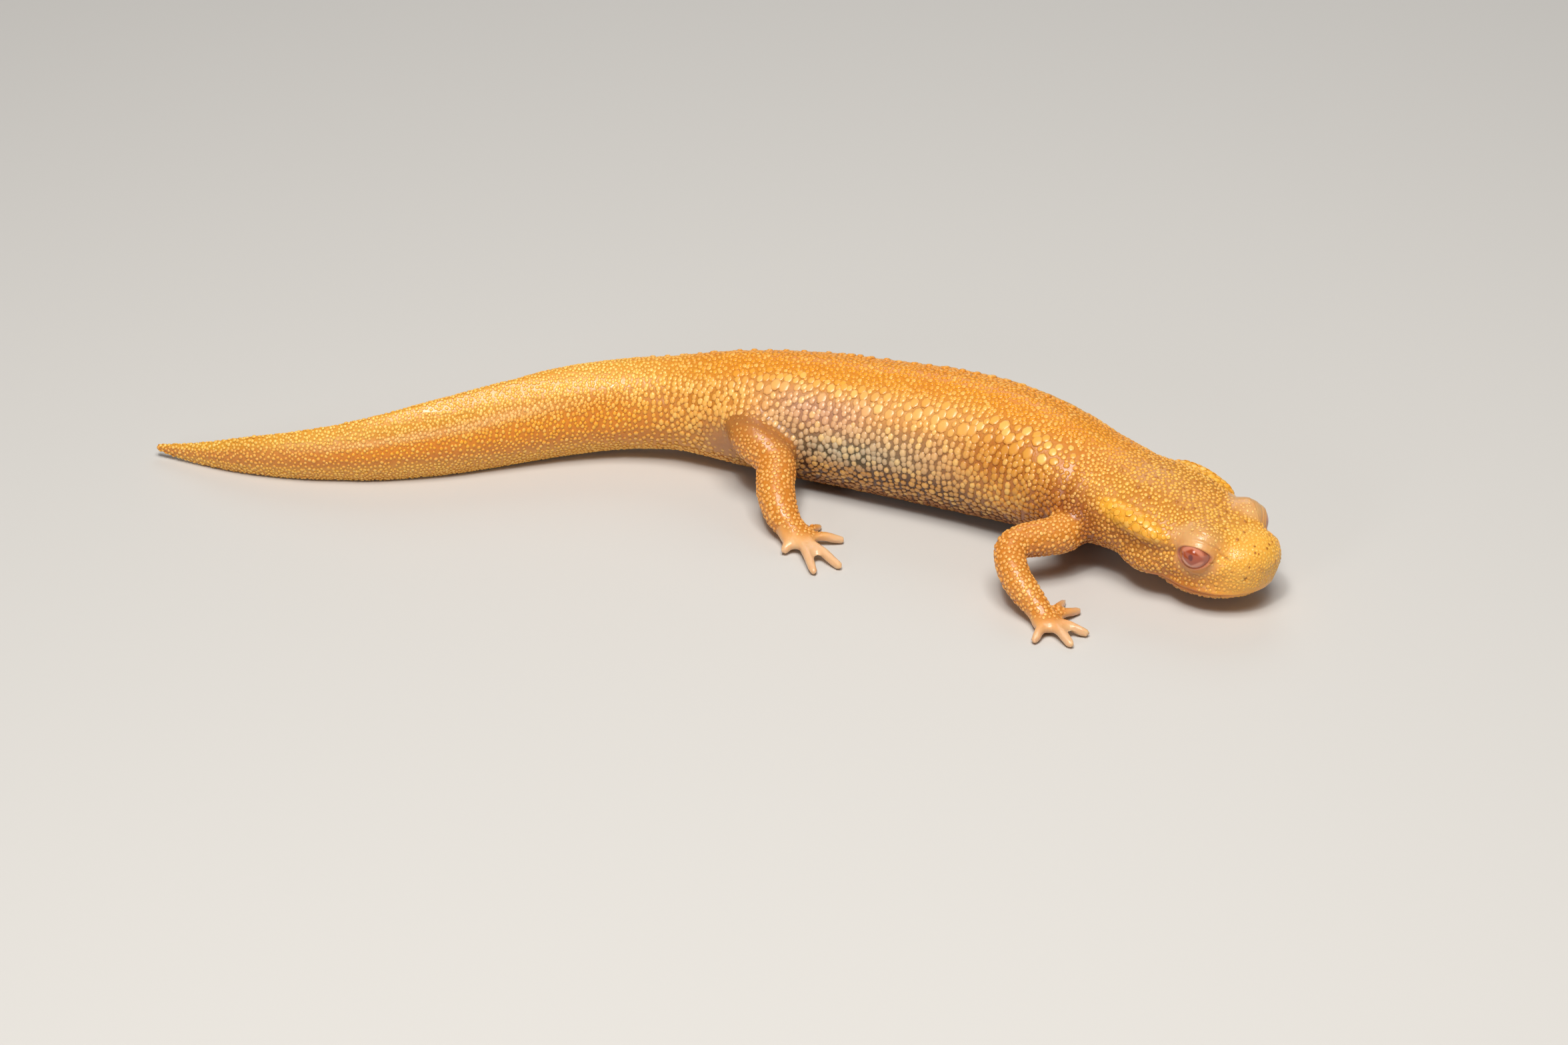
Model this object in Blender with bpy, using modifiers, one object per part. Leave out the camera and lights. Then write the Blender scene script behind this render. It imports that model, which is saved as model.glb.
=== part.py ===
"""A newt at life size, standing still.

The flesh is fused into one form and then parted with thin cuts where a person would name its parts.
The head points to +X and a little to -Y, the tail to -X, and the floor is at Z 0. The tables are in
millimetres.
"""

import math

import bmesh
import bpy
import numpy as np
from mathutils import Matrix, Vector

MM = 0.001

# Driving sizes
PARTING_GAP = 0.3  # the thin cut between neighbouring parts
RIDGE_HEIGHT = 0.3  # the low ridge along the spine
RIDGE_SPREAD = 0.22  # in radians round the section
EYE_RADIUS = 1.9
SOCKET_GAP = 0.2
EYE_OPENING = (1.75, 1.15)  # half its length and half its height, between the lids
EYE_OPENING_TILT = math.radians(9)  # the front corner sits higher
DIGIT_ROOT_RADIUS = 0.56
SOLE_SHARE = 1.1  # the palm's half width, as a share of the ankle's

# How finely the flesh is fused, softened and then faceted
VOXEL = 0.26
SOFTENING_ROUNDS = 5
FLESH_TRIANGLES = 11500
KEPT_TRIANGLES = 0.42  # the share kept of a parted piece, and of the head
KEPT_ON_HEAD = 0.75
FEWEST_FACES = 20  # anything smaller is a crumb that the cuts leave
BODY_RINGS = 190
BODY_SIDES = 40
LIMB_SIDES = 16
LUMP_SIDES, LUMP_RINGS = 20, 12
SHARP_ANGLE = math.radians(50)  # the cuts stay crisp, the skin is smooth

FLESH_COLOUR, FLESH_ROUGHNESS = (0.72, 0.30, 0.05), 0.3
EYE_COLOUR, EYE_ROUGHNESS = (0.45, 0.07, 0.06), 0.1

# The trunk and tail, from the tail's tip to the snout: centre x, y, z, half width, height above and
# below the centre, and the powers that round the top and the underside (2 is an ellipse, less is
# keeled, more is boxy). Belly and tail reach just below the floor, which cuts them flat.
BODY = (
    (-59.6, 12.9, 1.0, 0.35, 0.45, 0.45, 2.0, 2.0),
    (-56.0, 11.5, 1.25, 0.6, 1.05, 1.3, 1.7, 1.7),
    (-50.6, 9.5, 2.0, 0.95, 2.0, 2.1, 1.6, 1.6),
    (-45.4, 8.5, 2.6, 1.25, 2.55, 2.7, 1.6, 1.6),
    (-39.1, 8.3, 3.3, 1.65, 3.2, 3.45, 1.65, 1.65),
    (-32.9, 9.3, 3.9, 2.15, 3.85, 4.05, 1.75, 1.75),
    (-26.8, 11.2, 4.3, 2.7, 4.25, 4.45, 1.8, 1.8),
    (-20.6, 13.2, 4.75, 3.25, 4.4, 4.6, 1.9, 1.9),
    (-14.3, 14.1, 5.2, 3.8, 4.35, 4.7, 2.0, 2.0),
    (-9.2, 13.6, 5.6, 4.3, 4.55, 5.0, 2.0, 2.1),
    (-4.1, 12.2, 6.0, 5.2, 5.2, 5.7, 2.0, 2.2),
    (0.9, 10.8, 6.2, 6.0, 5.55, 6.2, 2.0, 2.25),
    (5.9, 9.2, 6.3, 6.5, 5.75, 6.45, 2.0, 2.3),
    (10.8, 7.3, 6.4, 6.8, 5.9, 6.55, 2.0, 2.3),
    (15.7, 5.2, 6.5, 6.9, 6.05, 6.6, 2.0, 2.3),
    (20.4, 2.5, 6.5, 6.7, 6.1, 6.4, 2.05, 2.25),
    (24.9, -0.9, 6.5, 6.3, 5.4, 5.7, 2.1, 2.2),
    (28.1, -3.5, 6.3, 6.1, 4.5, 4.7, 2.15, 2.2),
    (31.1, -5.8, 6.05, 5.85, 4.0, 4.1, 2.2, 2.3),
    (33.8, -7.7, 5.85, 5.8, 3.8, 3.8, 2.4, 2.6),
    (35.7, -9.4, 5.6, 5.6, 3.5, 3.6, 2.5, 2.7),
    (37.8, -11.3, 5.4, 5.2, 3.1, 3.5, 2.5, 2.8),
    (39.9, -13.1, 5.1, 4.5, 2.75, 3.3, 2.4, 2.8),
    (41.9, -14.9, 4.8, 3.5, 2.3, 2.9, 2.3, 2.6),
    (42.8, -15.7, 4.6, 2.3, 1.7, 2.3, 2.2, 2.4),
    (43.2, -16.1, 4.5, 1.2, 0.9, 1.4, 2.1, 2.2),
)

# Where the body is parted: the share of its length from the tail's tip, the cutting plate's radius,
# and how far it is turned about Z from square, so that it clears the legs.
BODY_PARTINGS = (
    (0.17, 6.0, 0.0),
    (0.31, 7.0, 0.0),
    (0.445, 8.0, 0.0),
    (0.62, 9.0, 0.0),
    (0.834, 7.5, 20.0),
    (0.864, 8.0, 8.0),
)
BODY_PARTS = ("tail_tip", "tail_middle", "tail_base", "trunk_rear", "trunk_front", "neck", "head")

# The head's own frame: ahead along the muzzle, to the newt's left, and up, from between the eyes.
EYES_BETWEEN = Vector((39.5, -12.8, 5.6))
HEAD_TURN = math.radians(-42.0)
EYE_APART = 3.35  # from the midline to each eyeball's centre
EYE_RISE = 0.45
EYE_AHEAD = -0.4

# The mouth is a level cut back to the jaw's corner, where a second cut parts jaw from throat.
MOUTH_RISE = -3.1
MOUTH_SLOPE = math.radians(-2)
MOUTH_CORNER = -4.8
HEAD_REACH = 12  # past the head on every side

# Each leg: the parts' names, the plate that frees it from the trunk (place, facing, radius), the joints
# from inside the trunk to the ankle with the radius at each, the sole's centre, and for each digit its
# tip on the floor and its radius there.
LEGS = (
    {
        "names": ("upper_arm_right", "forearm_right", "hand_right"),
        "root": ((25.1, -9.2, 4.7), (-0.64, -0.77, -0.1), 2.6),
        "joints": (
            (27.6, -5.6, 5.2),
            (25.4, -9.4, 4.7),
            (20.2, -12.5, 4.45),
            (20.5, -14.8, 3.4),
            (22.2, -17.1, 1.75),
        ),
        "radii": (2.6, 1.95, 1.55, 1.5, 1.35),
        "sole": (23.3, -18.7, 0.85),
        "digits": (
            ((21.9, -21.6), 0.42),
            ((25.5, -22.3), 0.46),
            ((27.1, -20.2), 0.46),
            ((26.5, -15.9), 0.42),
            ((25.2, -14.2), 0.38),
        ),
    },
    {
        "names": ("upper_arm_left", "forearm_left", "hand_left"),
        "root": ((27.0, 7.7, 4.5), (0.45, 0.89, -0.1), 3.4),
        "joints": (
            (26.4, 1.6, 5.0),
            (26.9, 6.4, 4.6),
            (25.6, 11.0, 4.1),
            (26.2, 13.0, 3.1),
            (27.0, 14.9, 1.75),
        ),
        "radii": (2.6, 1.95, 1.55, 1.5, 1.35),
        "sole": (27.6, 16.6, 0.85),
        "digits": (
            ((26.4, 19.6), 0.42),
            ((28.6, 20.0), 0.46),
            ((30.5, 18.2), 0.46),
            ((30.8, 15.7), 0.42),
            ((29.5, 14.1), 0.38),
        ),
    },
    {
        "names": ("thigh_right", "shin_right", "foot_right"),
        "root": ((-2.9, 5.45, 5.4), (-0.4, -0.916, 0.0), 4.5),
        "joints": (
            (-3.9, 8.8, 6.8),
            (-2.8, 5.5, 6.1),
            (-0.8, 3.1, 4.9),
            (-0.8, 0.4, 3.4),
            (0.0, -2.3, 1.9),
        ),
        "radii": (2.3, 2.3, 2.0, 1.9, 1.6),
        "sole": (1.3, -4.0, 0.95),
        "digits": (
            ((-0.2, -6.0), 0.44),
            ((2.8, -9.7), 0.46),
            ((5.3, -8.7), 0.46),
            ((5.7, -3.6), 0.44),
            ((3.5, -0.8), 0.38),
        ),
    },
    {
        "names": ("thigh_left", "shin_left", "foot_left"),
        "root": ((-2.1, 18.2, 5.4), (0.1, 0.99, 0.0), 4.5),
        "joints": (
            (-1.8, 14.2, 6.8),
            (-1.9, 17.8, 6.1),
            (-3.6, 20.6, 4.9),
            (-6.4, 21.4, 3.4),
            (-9.2, 22.1, 1.9),
        ),
        "radii": (2.3, 2.3, 2.0, 1.9, 1.6),
        "sole": (-10.4, 23.6, 0.95),
        "digits": (
            ((-14.1, 23.2), 0.44),
            ((-14.9, 27.3), 0.46),
            ((-11.7, 29.2), 0.46),
            ((-8.2, 27.9), 0.44),
            ((-7.4, 25.0), 0.38),
        ),
    },
)
ROOT_SHARE = 0.4  # about where a leg leaves the trunk, as a share of its length
LEG_PARTINGS = (0.60, 0.90)  # elbow or knee, and wrist or ankle


def head_point(ahead, left, up):
    """A place on the head, in millimetres, from its own frame."""
    return EYES_BETWEEN + Matrix.Rotation(HEAD_TURN, 3, "Z") @ Vector((ahead, left, up))


def smooth_rows(table, count):
    """Evenly spaced rows on smooth curves through a table's rows, whose first three values are a place."""
    rows = np.array(table, float)
    steps = np.linalg.norm(np.diff(rows[:, :3], axis=0), axis=1)
    along = np.concatenate([[0.0], np.cumsum(steps)])
    slopes = np.gradient(rows, along, axis=0)
    at = np.linspace(0.0, along[-1], count)
    before = np.clip(np.searchsorted(along, at, side="right") - 1, 0, len(steps) - 1)
    step = steps[before][:, None]
    t = (at - along[before])[:, None] / step
    return (
        rows[before] * (2 * t**3 - 3 * t**2 + 1)
        + slopes[before] * step * (t**3 - 2 * t**2 + t)
        + rows[before + 1] * (3 * t**2 - 2 * t**3)
        + slopes[before + 1] * step * (t**3 - t**2)
    )


def way_along(points, share):
    """The place and heading at a share of the length of a smooth line through points."""
    rows = smooth_rows(points, 61)
    k = round(share * 60)
    heading = rows[min(k + 1, 60)] - rows[max(k - 1, 0)]
    return Vector(rows[k]), Vector(heading).normalized()


def to_mesh(shape):
    """A bmesh as a mesh, and the bmesh freed."""
    mesh = bpy.data.meshes.new("shape")
    shape.to_mesh(mesh)
    shape.free()
    return mesh


def section(row, heading, sides, ridge):
    """One closed section: a superellipse square to the heading, with a low ridge along its top."""
    centre, half_width, up, down = Vector(row[:3]), row[3], row[4], row[5]
    side = Vector((0, 0, 1)).cross(heading).normalized()
    above = heading.cross(side)
    points = []
    for k in range(sides):
        angle = 2 * math.pi * k / sides
        c, s = math.cos(angle), math.sin(angle)
        reach, power = (up, row[6]) if s > 0 else (-down, row[7])
        across = math.copysign(abs(c) ** (2 / power), c) * half_width
        raised = abs(s) ** (2 / power) * reach
        raised += ridge * math.exp(-(((angle - math.pi / 2) / RIDGE_SPREAD) ** 2))
        points.append(centre + side * across + above * raised)
    return points


def loft(rows, sides, ridges):
    """A closed mesh through the sections of these rows, with flat ends."""
    shape = bmesh.new()
    headings = np.gradient(rows[:, :3], axis=0)
    rings = []
    for row, heading, ridge in zip(rows, headings, ridges):
        points = section(row, Vector(heading).normalized(), sides, ridge)
        rings.append([shape.verts.new(point * MM) for point in points])
    for one, other in zip(rings, rings[1:]):
        for k in range(sides):
            n = (k + 1) % sides
            shape.faces.new((one[k], one[n], other[n], other[k]))
    shape.faces.new(rings[0])
    shape.faces.new(rings[-1])
    bmesh.ops.recalc_face_normals(shape, faces=shape.faces)
    return to_mesh(shape)


def limb(points, radii):
    """A limb or digit: a round tube through points, domed at its far end."""
    table = [(*point, radius, radius, radius, 2, 2) for point, radius in zip(points, radii)]
    rows = smooth_rows(table, 6 * len(table))
    heading = rows[-1][:3] - rows[-2][:3]
    heading /= np.linalg.norm(heading)
    dome = []
    for turn in np.linspace(0.3, 1.4, 5):
        row = rows[-1].copy()
        row[:3] += heading * row[3] * math.sin(turn)
        row[3:6] *= math.cos(turn)
        dome.append(row)
    rows = np.vstack([rows, dome])
    return loft(rows, LIMB_SIDES, np.zeros(len(rows)))


def lump(centre, radii, turn=HEAD_TURN, nose_up=0.0):
    """A closed ellipsoid, tipped nose up and then turned about Z."""
    shape = bmesh.new()
    place = (
        Matrix.Translation(Vector(centre) * MM)
        @ Matrix.Rotation(turn, 4, "Z")
        @ Matrix.Rotation(-nose_up, 4, "Y")
        @ Matrix.Diagonal((*(Vector(radii) * MM), 1))
    )
    bmesh.ops.create_uvsphere(shape, u_segments=LUMP_SIDES, v_segments=LUMP_RINGS, radius=1, matrix=place)
    return to_mesh(shape)


def plate(centre, facing, radius):
    """A thin round plate square to facing, which parts what it passes through."""
    shape = bmesh.new()
    turn = Vector(facing).to_track_quat("Z", "Y").to_matrix().to_4x4()
    place = Matrix.Translation(Vector(centre) * MM) @ turn
    size = {"radius1": radius * MM, "radius2": radius * MM, "depth": PARTING_GAP * MM}
    bmesh.ops.create_cone(shape, cap_ends=True, segments=36, matrix=place, **size)
    return to_mesh(shape)


def block(low, high, frame=Matrix()):
    """A box between two corners, in millimetres of a frame."""
    low, high = Vector(low) * MM, Vector(high) * MM
    shape = bmesh.new()
    place = frame @ Matrix.Translation((low + high) / 2) @ Matrix.Diagonal((*(high - low), 1))
    bmesh.ops.create_cube(shape, size=1, matrix=place)
    return to_mesh(shape)


def body_mesh():
    """Trunk, tail and the plain shape of the head, with the ridge dying out at both ends."""
    from_tail = np.linspace(0, 1, BODY_RINGS)
    ridges = RIDGE_HEIGHT * np.clip(np.minimum(from_tail / 0.3, (0.88 - from_tail) / 0.12), 0, 1)
    return loft(smooth_rows(BODY, BODY_RINGS), BODY_SIDES, ridges)


def head_meshes():
    """What stands out on the head: muzzle, jaw, eyelids, the long glands behind them and the jaw muscles."""
    meshes = [
        lump(head_point(0.9, 0, -1.85), (4.0, 4.2, 2.65)),
        lump(head_point(-1.3, 0, -2.9), (5.7, 5.1, 1.75)),
    ]
    for left in (-1, 1):
        meshes.append(lump(head_point(EYE_AHEAD, left * (EYE_APART - 0.25), EYE_RISE), (2.45, 2.35, 2.4)))
        meshes.append(lump(head_point(-6.5, left * 5.2, 1.7), (3.7, 1.05, 1.1), nose_up=-0.17))
        meshes.append(lump(head_point(-5.6, left * 3.7, -1.5), (3.6, 2.3, 2.1)))
    return meshes


def leg_meshes(leg):
    """The limb, its sole and its digits, overlapping ready to be fused."""
    sole = Vector(leg["sole"])
    ankle = Vector(leg["joints"][-1])
    turn = math.atan2(sole.y - ankle.y, sole.x - ankle.x)
    wide = leg["radii"][-1]
    meshes = [
        limb((*leg["joints"], tuple(sole)), (*leg["radii"], wide * 0.75)),
        lump(sole, (wide * SOLE_SHARE, wide * SOLE_SHARE, 0.95), turn),
    ]
    for (x, y), tip_radius in leg["digits"]:
        tip = Vector((x, y, tip_radius * 0.8))
        root = sole.lerp(tip, 0.1)
        knuckle = sole.lerp(tip, 0.55) + Vector((0, 0, 0.25))
        end = tip - (tip - sole).normalized() * tip_radius
        radii = (DIGIT_ROOT_RADIUS, (DIGIT_ROOT_RADIUS + tip_radius) / 2, tip_radius * 1.05, tip_radius)
        meshes.append(limb((root, knuckle, sole.lerp(tip, 0.85), end), radii))
    return meshes


def placed(name, mesh, colour, roughness):
    """A named part of the newt, with its own finish."""
    obj = bpy.data.objects.new(name, mesh)
    NEWT.objects.link(obj)
    finish = bpy.data.materials.new(name)
    finish.use_nodes = True
    shader = finish.node_tree.nodes["Principled BSDF"]
    shader.inputs["Base Color"].default_value = (*colour, 1)
    shader.inputs["Roughness"].default_value = roughness
    mesh.materials.clear()
    mesh.materials.append(finish)
    mesh.shade_smooth()
    mesh.set_sharp_from_angle(angle=SHARP_ANGLE)


def helper(mesh):
    """A cutter, or a step on the way to a part."""
    obj = bpy.data.objects.new("helper", mesh)
    CUTTERS.objects.link(obj)
    obj.hide_render = True
    obj.display_type = "WIRE"
    return obj


def finished(obj):
    """The object's mesh with its modifiers applied, in place of the object."""
    graph = bpy.context.evaluated_depsgraph_get()
    mesh = bpy.data.meshes.new_from_object(obj.evaluated_get(graph))
    bpy.data.objects.remove(obj)
    return mesh


def faceted(mesh, share):
    """The mesh in this share of its triangles."""
    obj = helper(mesh)
    facet = obj.modifiers.new("facet", "DECIMATE")
    facet.ratio = share
    facet.use_collapse_triangulate = True
    return finished(obj)


def fused(meshes):
    """One soft, closed form round all the overlapping meshes."""
    joined = bmesh.new()
    for mesh in meshes:
        joined.from_mesh(mesh)
    obj = helper(to_mesh(joined))
    fuse = obj.modifiers.new("fuse", "REMESH")
    fuse.mode = "VOXEL"
    fuse.voxel_size = VOXEL * MM
    soften = obj.modifiers.new("soften", "SMOOTH")
    soften.factor = 0.5
    soften.iterations = SOFTENING_ROUNDS
    mesh = finished(obj)
    return faceted(mesh, FLESH_TRIANGLES / (2 * len(mesh.polygons)))


def cut(mesh, cutter):
    """The mesh less a cutter mesh."""
    obj = helper(mesh)
    tool = helper(cutter)
    boolean = obj.modifiers.new("cut", "BOOLEAN")
    boolean.operation = "DIFFERENCE"
    boolean.solver = "EXACT"
    boolean.object = tool
    bpy.context.view_layer.update()
    mesh = finished(obj)
    bpy.data.objects.remove(tool)
    return mesh


def loose_pieces(mesh):
    """The mesh's separate closed pieces, each as a mesh."""
    whole = bmesh.new()
    whole.from_mesh(mesh)
    piece_of = {}
    count = 0
    for start in whole.verts:
        if start in piece_of:
            continue
        piece_of[start] = count
        reached = [start]
        while reached:
            vert = reached.pop()
            for link in vert.link_edges:
                other = link.other_vert(vert)
                if other not in piece_of:
                    piece_of[other] = count
                    reached.append(other)
        count += 1
    numbers = [piece_of[vert] for vert in whole.verts]
    meshes = []
    for number in range(count):
        one = whole.copy()
        others = [vert for vert, piece in zip(one.verts, numbers) if piece != number]
        bmesh.ops.delete(one, geom=others, context="VERTS")
        meshes.append(to_mesh(one))
    whole.free()
    return meshes


for old in list(bpy.data.objects):
    bpy.data.objects.remove(old)
NEWT = bpy.data.collections.new("newt")
CUTTERS = bpy.data.collections.new("cutters")
for collection in (NEWT, CUTTERS):
    bpy.context.scene.collection.children.link(collection)

# The flesh in one piece
meshes = [body_mesh(), *head_meshes()]
for leg in LEGS:
    meshes += leg_meshes(leg)
flesh = fused(meshes)

# Eyes, each in a socket that opens between the lids
for side, left in (("right", -1), ("left", 1)):
    centre = head_point(EYE_AHEAD, left * EYE_APART, EYE_RISE)
    front = head_point(EYE_AHEAD, left * (EYE_APART + EYE_RADIUS), EYE_RISE)
    opening = (EYE_OPENING[0], EYE_RADIUS * 0.8, EYE_OPENING[1])
    flesh = cut(flesh, lump(centre, [EYE_RADIUS + SOCKET_GAP] * 3))
    flesh = cut(flesh, lump(front, opening, nose_up=EYE_OPENING_TILT))
    placed(f"eye_{side}", lump(centre, [EYE_RADIUS] * 3), EYE_COLOUR, EYE_ROUGHNESS)

# Partings along the body, with a place inside each part that tells the pieces apart
middles = {}
spine = [row[:3] for row in BODY]
for share, radius, turn in BODY_PARTINGS:
    place, heading = way_along(spine, share)
    flesh = cut(flesh, plate(place, Matrix.Rotation(math.radians(turn), 3, "Z") @ heading, radius))
ends = [0.0, *(share for share, radius, turn in BODY_PARTINGS), 1.0]
for name, start, end in zip(BODY_PARTS, ends, ends[1:]):
    middles[name] = way_along(spine, (start + end) / 2)[0]

# The mouth
half = PARTING_GAP / 2
mouth = (
    Matrix.Translation(EYES_BETWEEN * MM)
    @ Matrix.Rotation(HEAD_TURN, 4, "Z")
    @ Matrix.Rotation(-MOUTH_SLOPE, 4, "Y")
)
back, front = MOUTH_CORNER - half, MOUTH_CORNER + half
low, high = MOUTH_RISE - half, MOUTH_RISE + half
flesh = cut(flesh, block((back, -HEAD_REACH, low), (HEAD_REACH, HEAD_REACH, high), mouth))
flesh = cut(flesh, block((back, -HEAD_REACH, -HEAD_REACH), (front, HEAD_REACH, MOUTH_RISE), mouth))
middles["lower_jaw"] = head_point(1, 0, MOUTH_RISE - 0.6)

# Partings down the legs
for leg in LEGS:
    line = (*leg["joints"], leg["sole"])
    flesh = cut(flesh, plate(*leg["root"]))
    for share, radius in zip(LEG_PARTINGS, leg["radii"][2:]):
        flesh = cut(flesh, plate(*way_along(line, share), radius * 1.7))
    for name, start, end in zip(leg["names"], (ROOT_SHARE, *LEG_PARTINGS), (*LEG_PARTINGS, 1.0)):
        middles[name] = way_along(line, (start + end) / 2)[0]

# Each loose piece is the part whose middle is nearest, faceted and cut flat by the floor.
under_floor = ((-100, -100, -10), (100, 100, 0))
for piece in loose_pieces(flesh):
    if len(piece.polygons) < FEWEST_FACES:
        continue
    centre = sum((vert.co for vert in piece.vertices), Vector()) / len(piece.vertices) / MM
    name = min(middles, key=lambda part: (middles[part] - centre).length)
    piece = faceted(piece, KEPT_ON_HEAD if name == "head" else KEPT_TRIANGLES)
    if min(vert.co.z for vert in piece.vertices) < 0:
        piece = cut(piece, block(*under_floor))
    placed(name, piece, FLESH_COLOUR, FLESH_ROUGHNESS)

# The origin is on the floor, under the middle of the whole newt's box.
places = [vert.co for obj in NEWT.objects for vert in obj.data.vertices]
middle = [(min(p[k] for p in places) + max(p[k] for p in places)) / 2 for k in (0, 1)]
for obj in NEWT.objects:
    obj.data.transform(Matrix.Translation((-middle[0], -middle[1], 0)))
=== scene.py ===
"""A fire-bellied newt at life size: its looks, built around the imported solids.

One skin stands for all the flesh solids. A coat of skin granules lies on it, and the eyes look out
between its lids. Sizes are in millimetres and become metres where a mesh is made.
"""

import math

import bmesh
import bpy
import numpy as np
from mathutils import Matrix, Vector
from mathutils.bvhtree import BVHTree
from mathutils.kdtree import KDTree


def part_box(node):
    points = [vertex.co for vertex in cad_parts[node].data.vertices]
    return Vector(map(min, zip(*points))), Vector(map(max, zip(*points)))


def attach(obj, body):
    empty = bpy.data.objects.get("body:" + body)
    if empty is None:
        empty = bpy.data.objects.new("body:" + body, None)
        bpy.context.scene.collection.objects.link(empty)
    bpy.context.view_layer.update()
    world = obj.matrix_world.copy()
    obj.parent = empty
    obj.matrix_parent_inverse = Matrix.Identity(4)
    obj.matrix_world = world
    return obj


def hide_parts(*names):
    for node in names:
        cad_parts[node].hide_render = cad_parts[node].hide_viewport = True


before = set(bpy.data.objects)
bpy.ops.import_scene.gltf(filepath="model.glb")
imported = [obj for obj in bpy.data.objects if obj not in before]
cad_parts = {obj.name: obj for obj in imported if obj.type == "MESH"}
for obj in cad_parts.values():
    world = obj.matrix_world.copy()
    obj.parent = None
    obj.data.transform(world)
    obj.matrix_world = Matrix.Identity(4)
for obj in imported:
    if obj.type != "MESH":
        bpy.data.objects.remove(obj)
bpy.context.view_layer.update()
MM = 0.001

# ---------------------------------------------------------------------------------------------
# The stage: a plain pale floor under the newt, a large soft light and a small one above it, a weaker
# one in front and another behind, and a long lens that looks down a little on its right side.
# ---------------------------------------------------------------------------------------------

FLOOR_SIZE = 1600
FLOOR_COLOUR = (0.60, 0.59, 0.57)
LENS = 100
SENSOR = 36
NEAREST_SEEN = 10
CAMERA_AWAY = 403
CAMERA_RISE = math.radians(30)
AIM = Vector((7.6, -3.2, 0.0))  # a little towards the head from the middle of the newt's box
LIGHTS = (
    # name, place, size, power in watts, colour
    ("softbox", (10, -170, 420), 240, 1.98, (1.0, 0.96, 0.91)),
    ("small_lamp", (-40, -210, 380), 45, 0.40, (1.0, 0.98, 0.95)),
    ("front_fill", (-260, -420, 160), 110, 0.30, (1.0, 0.98, 0.96)),
    ("back_light", (60, 330, 300), 220, 0.26, (0.96, 0.98, 1.0)),
)
ROOM_LIGHT = 0.10


def finish(name, **sockets):
    """A new material with its shader's sockets set, and its node tree and shader."""
    material = bpy.data.materials.new(name)
    material.use_nodes = True
    shader = material.node_tree.nodes["Principled BSDF"]
    for socket, value in sockets.items():
        shader.inputs[socket.replace("_", " ")].default_value = value
    return material, material.node_tree, shader


bpy.ops.mesh.primitive_plane_add(size=FLOOR_SIZE * MM)
floor = bpy.context.object
floor.name = "floor"
floor.data.materials.append(finish("pale_floor", Base_Color=(*FLOOR_COLOUR, 1), Roughness=0.75)[0])

for name, place, size, power, colour in LIGHTS:
    lamp = bpy.data.lights.new(name, "AREA")
    lamp.size = size * MM
    lamp.energy = power
    lamp.color = colour
    stand = bpy.data.objects.new(name, lamp)
    stand.location = Vector(place) * MM
    stand.rotation_euler = (AIM * MM - stand.location).to_track_quat("-Z", "Y").to_euler()
    bpy.context.scene.collection.objects.link(stand)

world = bpy.data.worlds.new("room")
world.use_nodes = True
world.node_tree.nodes["Background"].inputs["Strength"].default_value = ROOM_LIGHT
world.node_tree.nodes["Background"].inputs["Color"].default_value = (1, 1, 1, 1)
bpy.context.scene.world = world
bpy.context.scene.view_settings.view_transform = "Standard"

camera_data = bpy.data.cameras.new("camera")
camera_data.lens = LENS
camera_data.sensor_width = SENSOR
camera_data.clip_start = NEAREST_SEEN * MM
camera = bpy.data.objects.new("camera", camera_data)
camera.location = (AIM + Vector((0, -math.cos(CAMERA_RISE), math.sin(CAMERA_RISE))) * CAMERA_AWAY) * MM
camera.rotation_euler = (AIM * MM - camera.location).to_track_quat("-Z", "Y").to_euler()
bpy.context.scene.collection.objects.link(camera)
bpy.context.scene.camera = camera

# ---------------------------------------------------------------------------------------------
# The newt's own directions, which place everything on it: a spine from the tail's tip to the snout,
# with its length and the angle round it, and the head's frame between the eyes.
# ---------------------------------------------------------------------------------------------

BODY = ("tail_tip", "tail_middle", "tail_base", "trunk_rear", "trunk_front", "neck")
SLICE = 1.2  # how thick a slice of the body gives one middle point
SPINE_STEP = 4.0
SPINE_POINTS = 400
HEAD_SPINE = (-5.0, -2.0, 1.0, 4.0)  # ahead of the eyes
HEAD_SPINE_DROP = 0.9
BROW_AHEAD = 0.4  # the head is measured from the brow, this far ahead of the eyes' middles
BOTH_SIDES = (("left", 1), ("right", -1))


def box_middle(name):
    return sum(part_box(name), Vector()) / 2 / MM


EYE_CENTRES = {side: box_middle(f"eye_{side}") for side, left in BOTH_SIDES}
eye_low, eye_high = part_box("eye_left")
EYE_RADIUS = (eye_high.z - eye_low.z) / 2 / MM
to_left = (EYE_CENTRES["left"] - EYE_CENTRES["right"]).normalized()
ahead = to_left.cross(Vector((0, 0, 1))).normalized()
brow = (EYE_CENTRES["left"] + EYE_CENTRES["right"]) / 2 + ahead * BROW_AHEAD
HEAD = np.array([ahead, to_left, (0, 0, 1)])


def in_head(points):
    """Points in millimetres, from the brow: how far ahead, to the newt's left, and up."""
    return (points - np.array(brow)) @ HEAD.T


def points_of(mesh):
    points = np.empty(len(mesh.vertices) * 3, np.float32)
    mesh.vertices.foreach_get("co", points)
    return points.reshape(-1, 3).astype(float) / MM


body_points = np.vstack([points_of(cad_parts[name].data) for name in BODY])
stations = np.arange(body_points[:, 0].min() + SLICE, body_points[:, 0].max() - 2 * SLICE, SPINE_STEP)
spine = []
for x in stations:
    near = body_points[np.abs(body_points[:, 0] - x) < SLICE]
    spine.append((x, *((near.min(0) + near.max(0)) / 2)[1:]))
for reach in HEAD_SPINE:
    spine.append(brow + ahead * reach - Vector((0, 0, HEAD_SPINE_DROP)))


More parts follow.
